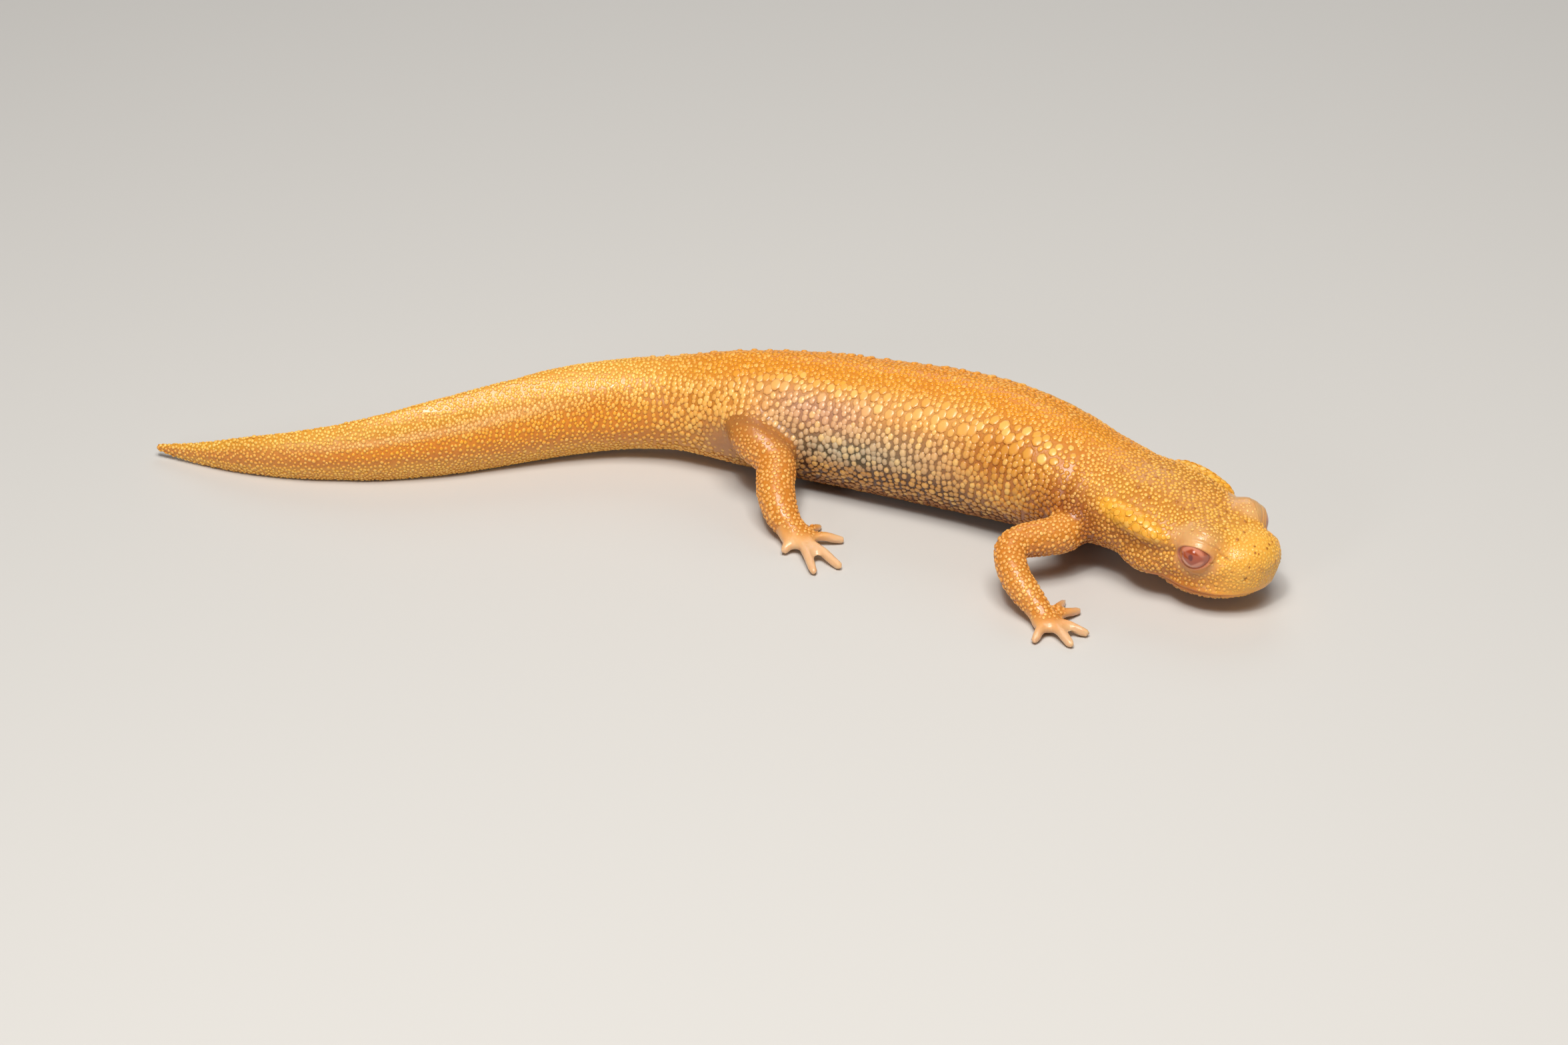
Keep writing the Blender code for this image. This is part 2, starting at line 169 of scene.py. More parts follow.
def smooth_line(points, count):
    """Evenly spaced points on a smooth curve through the given ones."""
    rows = np.array([list(point) for point in points], float)
    along = np.concatenate([[0], np.cumsum(np.linalg.norm(np.diff(rows, axis=0), axis=1))])
    slopes = np.gradient(rows, along, axis=0)
    at = np.linspace(0, along[-1], count)
    k = np.clip(np.searchsorted(along, at, side="right") - 1, 0, len(along) - 2)
    step = (along[k + 1] - along[k])[:, None]
    t = (at - along[k])[:, None] / step
    return (
        rows[k] * (2 * t**3 - 3 * t**2 + 1)
        + slopes[k] * step * (t**3 - 2 * t**2 + t)
        + rows[k + 1] * (3 * t**2 - 2 * t**3)
        + slopes[k + 1] * step * (t**3 - t**2)
    )


tail_tip = body_points[body_points[:, 0].argmin()]
spine = smooth_line([tail_tip, *spine], SPINE_POINTS)
spine_along = np.concatenate([[0], np.cumsum(np.linalg.norm(np.diff(spine, axis=0), axis=1))])
spine_heading = np.gradient(spine, axis=0)
spine_heading /= np.linalg.norm(spine_heading, axis=1)[:, None]
spine_left = np.cross((0, 0, 1), spine_heading)
spine_left /= np.linalg.norm(spine_left, axis=1)[:, None]
spine_up = np.cross(spine_heading, spine_left)


def body_places(points):
    """For points in millimetres: the length along the spine, and the angle round it, from 0 on the
    newt's left over 90 on its back to 180 on its right, and below zero on its belly."""
    gap = ((points[:, None, :2] - spine[None, :, :2]) ** 2).sum(2)
    k = gap.argmin(1)
    offset = points - spine[k]
    along = spine_along[k] + (offset * spine_heading[k]).sum(1)
    angle = np.degrees(np.arctan2((offset * spine_up[k]).sum(1), (offset * spine_left[k]).sum(1)))
    return along, angle


# ---------------------------------------------------------------------------------------------
# The skin: one moist, unbroken sheet over the whole newt. It is grown out of the flesh solids, which
# are swollen until their gaps close, fused, smoothed and drawn in again by the depth of its coat.
# The head, hands and feet are made finer, for the lids, lips, nostrils and toes.
# ---------------------------------------------------------------------------------------------

FLESH = [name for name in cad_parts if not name.startswith("eye_")]
EYES = ("eye_left", "eye_right")
SAME_POINT = 0.001
SWELL = 0.24
SKIN_VOXEL = 0.2
SMOOTH_ROUNDS = 34
FINE_SMOOTH_ROUNDS = 12  # on the hands and feet
COARSE_SHARE = 0.36
PAW_THINNED = 0.02  # how freely a paw's points are given up, against 1 elsewhere
PAW_BLEND, LIMB_BLEND, BARE_BLEND, ROOT_BLEND = 6, 5, 3, 200  # in rounds of spreading a mask
FINE_ROUNDS = 4
FINE_HEAD = 6.5  # how far behind the eyes the head is made finer
FINE_EYE = 3.0  # and round each eye finer again


def set_points(mesh, points):
    mesh.vertices.foreach_set("co", (points * MM).astype(np.float32).ravel())
    mesh.update()


def normals_of(mesh):
    normals = np.empty(len(mesh.vertices) * 3, np.float32)
    mesh.vertex_normals.foreach_get("vector", normals)
    return normals.reshape(-1, 3).astype(float)


def edges_of(mesh):
    edges = np.empty(len(mesh.edges) * 2, np.int32)
    mesh.edges.foreach_get("vertices", edges)
    return edges.reshape(-1, 2)


def neighbour_mean(values, edges):
    """For each vertex, the mean of its neighbours' values."""
    a, b = edges.T
    values = values.reshape(len(values), -1)
    counts = np.bincount(a, minlength=len(values)) + np.bincount(b, minlength=len(values))
    sums = np.empty_like(values)
    for k in range(values.shape[1]):
        sums[:, k] = np.bincount(a, values[b, k], len(values)) + np.bincount(b, values[a, k], len(values))
    return sums / counts[:, None]


def smoothed(points, edges, rounds):
    """The points smoothed without shrinking the form: each round draws them in and lets them out."""
    for k in range(rounds):
        for share in (0.5, -0.52):
            points = points + share * (neighbour_mean(points, edges) - points)
    return points


def spread_out(mask, edges, rounds):
    """A mask with soft edges."""
    for k in range(rounds):
        mask = 0.5 * mask + 0.5 * neighbour_mean(mask, edges)[:, 0]
    return mask


flesh = bmesh.new()
for name in (*FLESH, *EYES):
    flesh.from_mesh(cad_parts[name].data)
bmesh.ops.remove_doubles(flesh, verts=flesh.verts, dist=SAME_POINT * MM)
flesh.normal_update()
for vert in flesh.verts:
    vert.co += vert.normal * SWELL * MM
swollen = bpy.data.meshes.new("swollen")
flesh.to_mesh(swollen)
flesh.free()
skin = bpy.data.objects.new("skin", swollen)
bpy.context.scene.collection.objects.link(skin)
fuse = skin.modifiers.new("fuse", "REMESH")
fuse.mode = "VOXEL"
fuse.voxel_size = SKIN_VOXEL * MM
skin_mesh = bpy.data.meshes.new_from_object(skin.evaluated_get(bpy.context.evaluated_depsgraph_get()))
skin.modifiers.clear()
skin.data = skin_mesh

# Which solid each point of the skin grew from
solid_points, solid_faces, solid_names = [], [], []
for name in FLESH:
    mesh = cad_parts[name].data
    start = len(solid_points)
    solid_points += [vert.co.copy() for vert in mesh.vertices]
    solid_faces += [[start + k for k in face.vertices] for face in mesh.polygons]
    solid_names += [name] * len(mesh.polygons)
solids = BVHTree.FromPolygons(solid_points, solid_faces)


def grown_from(points):
    return np.array([solid_names[solids.find_nearest(Vector(point * MM))[2]] for point in points])


# The voxels' steps are smoothed off, less on hands and feet, and the trunk is made coarser
points = points_of(skin_mesh)
edges = edges_of(skin_mesh)
grew_from = grown_from(points)
paws = np.char.startswith(grew_from, "hand") | np.char.startswith(grew_from, "foot")
paws = spread_out(paws.astype(float), edges, PAW_BLEND)
lightly = smoothed(points, edges, FINE_SMOOTH_ROUNDS)
fully = smoothed(lightly, edges, SMOOTH_ROUNDS - FINE_SMOOTH_ROUNDS)
set_points(skin_mesh, fully * (1 - paws)[:, None] + lightly * paws[:, None])
coarse = skin.vertex_groups.new(name="coarse")
for weight, where in ((1.0, paws < 0.3), (PAW_THINNED, paws >= 0.3)):
    coarse.add(np.flatnonzero(where).tolist(), weight, "REPLACE")
thin = skin.modifiers.new("thin", "DECIMATE")
thin.ratio = COARSE_SHARE
thin.vertex_group = "coarse"
skin_mesh = bpy.data.meshes.new_from_object(skin.evaluated_get(bpy.context.evaluated_depsgraph_get()))
skin.modifiers.clear()
skin.vertex_groups.clear()
skin.data = skin_mesh

# The finer places
HEAD_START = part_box("head")[0].x / MM
shape = bmesh.new()
shape.from_mesh(skin_mesh)


def refine(near):
    """Halves every edge of the faces that are near enough."""
    edges = {edge for face in shape.faces if near(face.calc_center_median() / MM) for edge in face.edges}
    bmesh.ops.subdivide_edges(shape, edges=list(edges), cuts=1, use_grid_fill=True)
    bmesh.ops.triangulate(shape, faces=[face for face in shape.faces if len(face.verts) > 4])


refine(lambda place: place.x > HEAD_START and (place - brow).dot(ahead) > -FINE_HEAD)
refine(lambda place: min((place - centre).length for centre in EYE_CENTRES.values()) < FINE_EYE)
shape.to_mesh(skin_mesh)
shape.free()
edges = edges_of(skin_mesh)
points = smoothed(points_of(skin_mesh), edges, FINE_ROUNDS)
set_points(skin_mesh, points)
out = normals_of(skin_mesh)
grew_from = grown_from(points)

# Where the skin is bare, and how deep the coat lies elsewhere
COAT_DEPTH = 0.17
COAT_DEPTH_FINE = 0.10  # on the head, tail and limbs
FINE_AHEAD, FINE_TAIL = (84, 90), (44, 52)  # along the spine, where the coat turns fine
TOE_START = (1.7, 3.0)  # from the wrist or ankle
TOE_END = (2.3, 4.3)
LID_REACH = {"left": (2.5, 3.1), "right": (2.2, 3.0)}  # from the eyeball's middle
LID_BEHIND = 1.22  # and this much further behind the eye
LID_ABOVE = 0.93  # but not so far above it
MOUTH_DROP = 3.56  # the mouth line, below the eyes
MOUTH_RISES = -math.tan(math.radians(2))
MOUTH_CORNER = -4.8
LIP, LIP_FADE = 0.45, 0.3
SOCKET_RING, SOCKET_ROUNDS = (2.75, 0.55), 160
SADDLE = (2.0, 1.2)  # the dip between the eyes and the muzzle
SADDLE_LOW = (-3.0, -1.8)
SADDLE_SHARE = 0.9


def step(low, high, values):
    """Zero below low, one above high and smooth between, whichever way round they are."""
    t = np.clip((values - low) / (high - low), 0, 1)
    return t * t * (3 - 2 * t)


def bell(values, centre, half):
    """One at the centre, and dying away over half to either side."""
    return np.exp(-(((values - centre) / half) ** 2))


def above_mouth(head_places):
    """How far above the mouth's line."""
    return head_places[:, 2] + MOUTH_DROP - MOUTH_RISES * head_places[:, 0]


body_along, body_angle = body_places(points)
height_angle = np.degrees(np.arcsin(np.clip(np.sin(np.radians(body_angle)), -1, 1)))
head_places = in_head(points)
on_head = np.isin(grew_from, ("head", "lower_jaw"))
limb = np.char.count(grew_from.astype(str), "_left") + np.char.count(grew_from.astype(str), "_right")
limb = spread_out(limb.astype(float), edges, LIMB_BLEND)

toes, toe_tips = np.zeros(len(points)), np.zeros(len(points))
for name in FLESH:
    if name.startswith(("hand", "foot")):
        limb_middle = np.array(box_middle({"hand": "forearm", "foot": "shin"}[name[:4]] + name[4:]))
        own = points_of(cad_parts[name].data)
        wrist = own[((own - limb_middle) ** 2).sum(1).argmin()]
        reach = np.linalg.norm(points - wrist, axis=1)
        toes = np.maximum(toes, step(*TOE_START, reach) * (grew_from == name))
        toe_tips = np.maximum(toe_tips, step(*TOE_END, reach) * (grew_from == name))

lids = np.zeros(len(points))
for side in EYE_CENTRES:
    offset = (points - np.array(EYE_CENTRES[side])) @ HEAD.T
    offset[:, 0] /= np.where(offset[:, 0] < 0, LID_BEHIND, 1)
    offset[:, 2] /= np.where(offset[:, 2] > 0, LID_ABOVE, 1)
    lids = np.maximum(lids, 1 - step(*LID_REACH[side], np.linalg.norm(offset, axis=1)))
lips = bell(above_mouth(head_places), 0, LIP)
lips = lips * step(MOUTH_CORNER - LIP_FADE, MOUTH_CORNER + LIP_FADE, head_places[:, 0]) * on_head
bare = spread_out(np.maximum.reduce([toes, lids, lips]), edges, BARE_BLEND)
fine = np.maximum.reduce([step(*FINE_AHEAD, body_along), 1 - step(*FINE_TAIL, body_along), limb])
depth = (COAT_DEPTH * (1 - fine) + COAT_DEPTH_FINE * fine) * (1 - bare)
points = points - out * (SWELL + depth)[:, None]
points = smoothed(points, edges, 2)

# The crease round each eyelid's dome is filled softly
socket = np.zeros(len(points))
for side in EYE_CENTRES:
    reach = np.linalg.norm(points - np.array(EYE_CENTRES[side]), axis=1)
    socket = np.maximum(socket, bell(reach, *SOCKET_RING))
saddle = bell(head_places[:, 0], *SADDLE) * on_head * step(*SADDLE_LOW, head_places[:, 2])
socket = np.maximum(socket, SADDLE_SHARE * saddle)
soft = points
for k in range(SOCKET_ROUNDS):
    soft = soft + 0.5 * (neighbour_mean(soft, edges) - soft)
points = points + (soft - points) * socket[:, None]
set_points(skin_mesh, points)
out = normals_of(skin_mesh)
head_places = in_head(points)

# The mouth's line between its lips, and the nostrils
GROOVE, GROOVE_DEPTH, GROOVE_FADE = 0.10, 0.17, 0.4
LIP_MIDDLE, LIP_HALF, LIP_RISE = 0.34, 0.16, 0.04
MOUTH_LINE = 0.13
NOSTRIL, NOSTRIL_WIDE, NOSTRIL_DEPTH = (4.1, 2.45, -1.73), 0.17, 0.22
NOSTRIL_RIM, NOSTRIL_RIM_RISE = 2.6, 0.04  # the rim's radius, in widths
from_mouth = above_mouth(head_places)
parted = step(MOUTH_CORNER - GROOVE_FADE, MOUTH_CORNER + GROOVE_FADE, head_places[:, 0]) * on_head
sink = parted * (GROOVE_DEPTH * bell(from_mouth, 0, GROOVE))
sink -= parted * LIP_RISE * (bell(from_mouth, LIP_MIDDLE, LIP_HALF) + bell(from_mouth, -LIP_MIDDLE, LIP_HALF))
# The mask of a painted shade line along the mouth's groove
mouth_shade_line = parted * bell(from_mouth, 0, MOUTH_LINE)
nostrils = np.zeros(len(points))
for left in (-1, 1):
    place = np.array(NOSTRIL) * (1, left, 1)
    reach = np.linalg.norm(head_places - place, axis=1)
    rim = NOSTRIL_RIM_RISE * bell(reach, NOSTRIL_RIM * NOSTRIL_WIDE, NOSTRIL_WIDE)
    sink += NOSTRIL_DEPTH * bell(reach, 0, NOSTRIL_WIDE) - rim
    nostrils = np.maximum(nostrils, bell(reach, 0, NOSTRIL_WIDE))
points = points - out * sink[:, None]

# The eyelids: a rounded rim round each opening, and the skin inside it drawn in behind the eyeball
OPENING = (1.66, 1.02)  # half its length and half its height
OPENING_TILT = math.radians(7)  # the front corner sits higher
EYE_FORWARD = {"left": math.radians(34), "right": math.radians(12)}  # each opening faces a little ahead
UNDER_EYE = 0.32
LID_EDGE = (0.95, 1.06)
LID_OVER = 0.13  # how far the lids' edges stand over the eyeball
LID_HUG = (2.7, 1.15)  # and where they draw in to it, in openings from the middle
LID_RIM = 0.07
LID_CORNERS = 0.22  # how far the corners are drawn out
FRONT_FOLD, UPPER_FOLD, REAR_FOLD = 0.10, 0.08, 0.13  # how deep the folds round the eye are
FAR_OFF = 9  # stands for all the skin that isn't near the eye
eye_rim = np.zeros(len(points))


def eye_turn(left, forward, rise=0.0):
    """The directions ahead, left and up of an eye that is turned forward and up, as columns."""
    return np.array(Matrix.Rotation(-left * forward, 3, "Z") @ Matrix.Rotation(left * rise, 3, "X"))


for side, left in BOTH_SIDES:
    offset = points - np.array(EYE_CENTRES[side])
    reach = np.linalg.norm(offset, axis=1)
    places = offset @ HEAD.T @ eye_turn(left, EYE_FORWARD[side])
    x = places[:, 0] * math.cos(OPENING_TILT) + places[:, 2] * math.sin(OPENING_TILT)
    y = places[:, 2] * math.cos(OPENING_TILT) - places[:, 0] * math.sin(OPENING_TILT)
    pointed = 1 + LID_CORNERS * (np.abs(x) / OPENING[0]) ** 3
    open_share = np.sqrt((x / OPENING[0]) ** 2 + (y * pointed / OPENING[1]) ** 2)
    open_share[(places[:, 1] * left < 0.5) | (reach > EYE_RADIUS * 2)] = FAR_OFF
    inside = 1 - step(*LID_EDGE, open_share)
    rim = LID_RIM * bell(open_share, 1.16, 0.13)
    front = bell(y + 0.55 + 0.35 * (x - OPENING[0]), 0, 0.09) * bell(x, 1.75, 0.45)
    upper = bell(open_share, 1.62, 0.10) * step(0.1, 0.7, y) * step(-0.8, 0.6, x)
    rear = bell(open_share, 1.55, 0.09) * step(-0.2, -0.9, x) * step(0.6, -0.2, y)
    wanted = reach + step(*LID_HUG, open_share) * np.minimum(EYE_RADIUS + LID_OVER - reach, 0)
    wanted = wanted + rim - FRONT_FOLD * front - UPPER_FOLD * upper - REAR_FOLD * rear
    wanted = wanted * (1 - inside) + (EYE_RADIUS - UNDER_EYE) * inside
    near = open_share < FAR_OFF
    points[near] += (offset / reach[:, None] * (wanted - reach)[:, None])[near]
    eye_rim = np.maximum(eye_rim, bell(open_share, 1.01, 0.10))

# Soft folds: upright wrinkles on the neck, behind the arm and before the thigh
WRINKLES = (
    # along the spine, half width, depth, lowest and highest angle above the side's middle
    (92.5, 0.35, 0.16, -80, 40),
    (90.4, 0.30, 0.12, -80, 35),
    (88.6, 0.28, 0.10, -60, 30),
    (86.9, 0.28, 0.09, -50, 25),
    (56.8, 0.26, 0.10, -50, 45),
    (55.4, 0.24, 0.10, -60, 45),
    (54.2, 0.24, 0.09, -60, 40),
    (45.6, 0.26, 0.08, -50, 45),
    (43.9, 0.26, 0.08, -40, 45),
)
for place, half, deep, low, high in WRINKLES:
    wave = place + 0.5 * np.sin(np.radians(height_angle * 3) + place)
    fold = bell(body_along, wave, half) * step(low - 10, low + 10, height_angle)
    fold *= step(high + 12, high - 12, height_angle) * (1 - limb) * (1 - on_head)
    points -= out * (deep * fold)[:, None]
floor_level = points[:, 2] < 0
points[floor_level, 2] = 0
set_points(skin_mesh, points)
out = normals_of(skin_mesh)

# ---------------------------------------------------------------------------------------------
# The markings, shared by skin and coat: an albino's yellows and oranges with no black in them, and
# painted shade on the belly, lower flank, under the neck, at the thigh roots, under the glands, in
# the mouth's line and the nostrils, with painted highlights along the tail and on the lids' tops.
# Each is a mask on the skin, with the colour of the grooves there and the colour of the granules' tops.
# Places along the spine run from the tail's tip: the thighs stand near 52, the arms near 87 and the
# head starts near 99. Heights are angles above the middle of the side.
# ---------------------------------------------------------------------------------------------

TRUNK = step(45, 58, body_along) * step(96, 88, body_along)
SIDES = step(47, 61, body_along) * step(89, 80, body_along) * (1 - limb)
TAIL = step(58, 43, body_along) * (1 - limb)
SPECK_WIDE = 0.16
SPECKS = (
    # small brown pits on the muzzle: how far ahead, to the left and up
    (4.77, -1.36, -0.79),
    (4.9, -1.12, -1.09),
    (4.4, 0.3, -0.2),
    (4.1, 0.9, 0.15),
    (3.4, -1.9, -0.1),
    (3.1, 1.3, 0.5),
    (4.6, 1.5, -0.8),
    (3.9, 2.0, -0.5),
)
# The head's colour fades into the neck's, and the face keeps most of the painted shade under the neck off
face = step(-13.5, -6.5, head_places[:, 0])
head_field = step(-14.0, -8.5, head_places[:, 0]) * (1 - limb) * step(80, 88, body_along)
head_field *= 1 - step(-7.0, -10.5, head_places[:, 0]) * step(42, 16, height_angle)
# Painted shade at the roots of the hind legs, where they meet the body
limb_root = np.clip(2.6 * limb * (1 - spread_out(limb, edges, ROOT_BLEND)), 0, 1) * step(76, 70, body_along)
# Painted shade in the hollow between each thigh and the trunk
groin = bell(body_along, 56.4, 1.5) * bell(height_angle, -20, 24) * (1 - limb)

# The smooth gland behind each eye, which rises a little to the rear, and painted shade in the groove under it
GLAND, GLAND_HALF, GLAND_SLOPE = (-6.5, 5.45, 1.45), (3.9, 1.15, 1.1), 0.17
gland = np.zeros(len(points))
for left in (-1, 1):
    offset = (head_places - np.array((GLAND[0], left * GLAND[1], GLAND[2]))) / GLAND_HALF
    offset[:, 2] += GLAND_SLOPE * offset[:, 0] * GLAND_HALF[0] / GLAND_HALF[2]
    gland = np.maximum(gland, step(1.2, 0.75, np.linalg.norm(offset, axis=1)))
under_gland = bell(head_places[:, 2], -0.2, 1.0) * step(-10.5, -8.5, head_places[:, 0])
under_gland *= step(-2.6, -4.2, head_places[:, 0]) * step(3.0, 4.2, np.abs(head_places[:, 1])) * (1 - gland)

# The pits on the muzzle
specks = np.zeros(len(points))
for ahead_of, left_of, up_of in SPECKS:
    reach = np.linalg.norm(head_places - (ahead_of, left_of, up_of), axis=1)
    specks = np.maximum(specks, bell(reach, 0, SPECK_WIDE))

MARKINGS_AND_PAINTED_LIGHT = {
    # name: mask, groove colour, granule colour
    "back": (
        step(50, 72, height_angle) * step(40, 60, body_along) * (1 - lids),
        (0.72, 0.255, 0.016),
        (0.86, 0.360, 0.026),
    ),
    "flank": (
        SIDES * step(-52, -25, height_angle) * step(40, 24, height_angle),
        (0.38, 0.180, 0.060),
        (0.84, 0.50, 0.205),
    ),
    "upper_flank": (
        SIDES * bell(height_angle, 42, 15),
        (0.74, 0.34, 0.080),
        (0.88, 0.46, 0.120),
    ),
    "mauve": (
        bell(body_along, 66.8, 6.2) * bell(height_angle, 35, 16) * (1 - limb),
        (0.44, 0.21, 0.12),
        (0.79, 0.45, 0.25),
    ),
    "slate": (
        bell(body_along, 70.5, 7.0) * bell(height_angle, -1, 17) * (1 - limb),
        (0.125, 0.120, 0.078),
        (0.66, 0.55, 0.38),
    ),
    # painted shade: the belly and lowest sides of the trunk are set a deep orange-brown, darker than the
    # newt's own colour
    "under": (
        step(-10, -42, height_angle) * TRUNK,
        (0.10, 0.022, 0.002),
        (0.38, 0.130, 0.008),
    ),
    # the dark net of grooves on the lower flank is the newt's own; both colours are also set darker as
    # painted shade
    "low_flank": (
        SIDES * bell(height_angle, -20, 13) * step(55, 62, body_along),
        (0.090, 0.028, 0.006),
        (0.72, 0.36, 0.095),
    ),
    # painted shade: under the neck and on its lower sides the colour is set a dark brownish orange
    "throat": (
        step(86, 93, body_along) * step(38, 4, height_angle) * (1 - limb) * (1 - 0.7 * face),
        (0.26, 0.058, 0.006),
        (0.42, 0.125, 0.012),
    ),
    "hips": (
        step(44, 50, body_along) * step(62, 55, body_along) * step(60, 40, height_angle) * (1 - limb),
        (0.60, 0.230, 0.026),
        (0.94, 0.50, 0.110),
    ),
    # painted shade in the hollow before each thigh
    "groin": (groin, (0.46, 0.205, 0.072), (0.54, 0.26, 0.085)),
    "shoulder": (
        bell(body_along, 87, 4.5) * bell(height_angle, 20, 24) * (1 - limb),
        (0.44, 0.14, 0.012),
        (0.70, 0.31, 0.045),
    ),
    "tail_band": (
        TAIL * bell(height_angle, 2, 26) * step(10, 24, body_along),
        (0.78, 0.25, 0.006),
        (0.97, 0.49, 0.040),
    ),
    # paler along the lower edge, the newt's own colour, and paler along the top edge as a painted highlight
    # where light catches the rim
    "tail_edge": (
        TAIL * np.maximum(step(35, 62, height_angle), 0.8 * step(-25, -50, height_angle)),
        (0.76, 0.34, 0.035),
        (0.95, 0.58, 0.12),
    ),
    # painted highlight: a pale pinkish stripe along the rounded upper side of the tail
    "tail_stripe": (
        TAIL * bell(height_angle, 36, 9) * step(12, 22, body_along) * step(44, 34, body_along),
        (0.84, 0.40, 0.11),
        (0.94, 0.54, 0.19),
    ),
    "limbs": (limb, (0.66, 0.235, 0.026), (0.89, 0.44, 0.105)),
    # painted shade at the roots of the hind legs
    "limb_root": (limb_root, (0.43, 0.165, 0.036), (0.58, 0.255, 0.054)),
    "head": (
        head_field * step(-2.2, -0.4, head_places[:, 2]),
        (0.60, 0.24, 0.025),
        (0.93, 0.49, 0.078),
    ),
    "snout": (on_head * step(-0.6, 4.2, head_places[:, 0]), (0.95, 0.45, 0.062), (0.97, 0.52, 0.09)),
    # painted shade in the groove under each gland
    "under_gland": (under_gland, (0.42, 0.14, 0.018), (0.72, 0.33, 0.060)),
    "gland": (gland, (0.86, 0.385, 0.032), (0.94, 0.465, 0.052)),
    "lid": (lids * (1 - eye_rim), (0.74, 0.38, 0.150), (0.84, 0.47, 0.18)),
    # painted light: the lids' tops are paler and greyer, as if lit through from behind
    "lid_top": (lids * step(0.8, 1.8, head_places[:, 2]), (0.74, 0.43, 0.175), (0.84, 0.50, 0.20)),
    "under_lid": (lids * step(0.2, -1.0, head_places[:, 2]), (0.66, 0.29, 0.095), (0.84, 0.44, 0.14)),
    "lid_edge": (eye_rim, (0.50, 0.16, 0.08), (0.6, 0.2, 0.1)),
    "toe": (toes, (0.78, 0.39, 0.125), (0.86, 0.46, 0.15)),
    "toe_tip": (toe_tips, (0.76, 0.47, 0.25), (0.84, 0.52, 0.27)),
    # painted shade: a darker line in the mouth's groove
    "mouth": (mouth_shade_line, (0.56, 0.18, 0.022), (0.6, 0.24, 0.03)),
    "specks": (specks, (0.30, 0.10, 0.02), (0.34, 0.12, 0.02)),
    # painted shade: dark colour inside the nostril pits
    "nostril": (nostrils, (0.34, 0.11, 0.012), (0.5, 0.2, 0.03)),
}
GROOVE_BASE = (0.66, 0.24, 0.03)
GRANULE_BASE = (0.90, 0.48, 0.09)
MOTTLE, MOTTLE_SCALE = 0.16, 260.0
MOTTLE_YELLOW, MOTTLE_ORANGE = (1.08, 1.22, 1.3), (0.80, 0.50, 0.30)
WHITE = (1.0, 1.0, 1.0)


def store(mesh, name, values, kind="FLOAT"):
    """Keeps a value or a vector for each point of a mesh."""
    attribute = mesh.attributes.new(name, kind, "POINT")
    attribute.data.foreach_set("value" if kind == "FLOAT" else "vector", np.ravel(values).astype(np.float32))


def node(tree, kind, settings=None, **sockets):
    """A node with its settings, and its inputs given as values or as other nodes' outputs."""
    made = tree.nodes.new(kind)
    for name, value in (settings or {}).items():
        setattr(made, name, value)
    for name, value in sockets.items():
        key = int(name[1:]) if name[1:].isdigit() else name.replace("_", " ")
        if isinstance(value, bpy.types.NodeSocket):
            tree.links.new(value, made.inputs[key])
        else:
            made.inputs[key].default_value = value
    return made


def kept_value(tree, name):
    return node(tree, "ShaderNodeAttribute", {"attribute_name": name}).outputs["Fac"]


def worked(tree, operation, a, b=0.0):
    return node(tree, "ShaderNodeMath", {"operation": operation}, _0=a, _1=b).outputs[0]


def ramp(tree, value, start, end, highest=1.0, kind="LINEAR"):
    """Zero at the start, the highest at the end, and held beyond them."""
    settings = {"interpolation_type": kind}
    made = node(
        tree, "ShaderNodeMapRange", settings, Value=value, From_Min=start, From_Max=end, To_Max=highest
    )
    return made.outputs["Result"]


def mixed(tree, share, a, b, blend="MIX"):
    """A mix of two colours by a share."""
    mix = tree.nodes.new("ShaderNodeMix")
    mix.data_type, mix.blend_type = "RGBA", blend
    for socket, value in zip((mix.inputs[0], mix.inputs[6], mix.inputs[7]), (share, a, b)):
        if isinstance(value, bpy.types.NodeSocket):
            tree.links.new(value, socket)
        else:
            socket.default_value = (*value, 1) if isinstance(value, tuple) else value
    return mix.outputs[2]


def mask_colours(tree):
    """The grooves' and granules' colours, each marking, painted shade and highlight laid over the base in
    turn.
    """
    groove, granule = GROOVE_BASE, GRANULE_BASE
    for name, (mask, groove_colour, granule_colour) in MARKINGS_AND_PAINTED_LIGHT.items():
        share = kept_value(tree, name)
        groove = mixed(tree, share, groove, groove_colour)
        granule = mixed(tree, share, granule, granule_colour)
    return groove, granule


def mottled(tree, colour):
    """A colour that drifts a little lighter and darker, and from orange to yellow, over the skin."""
    place = tree.nodes.new("ShaderNodeTexCoord").outputs["Object"]
    cloud = node(tree, "ShaderNodeTexNoise", Vector=place, Scale=MOTTLE_SCALE, Detail=4.0, Roughness=0.6)
    patchy = ramp(tree, cloud.outputs["Fac"], 0.35, 0.65)
    yellow = mixed(tree, MOTTLE, WHITE, MOTTLE_YELLOW)
    orange = mixed(tree, MOTTLE, WHITE, MOTTLE_ORANGE)
    tone = mixed(tree, patchy, orange, yellow)
    return mixed(tree, 1.0, colour, tone, "MULTIPLY")


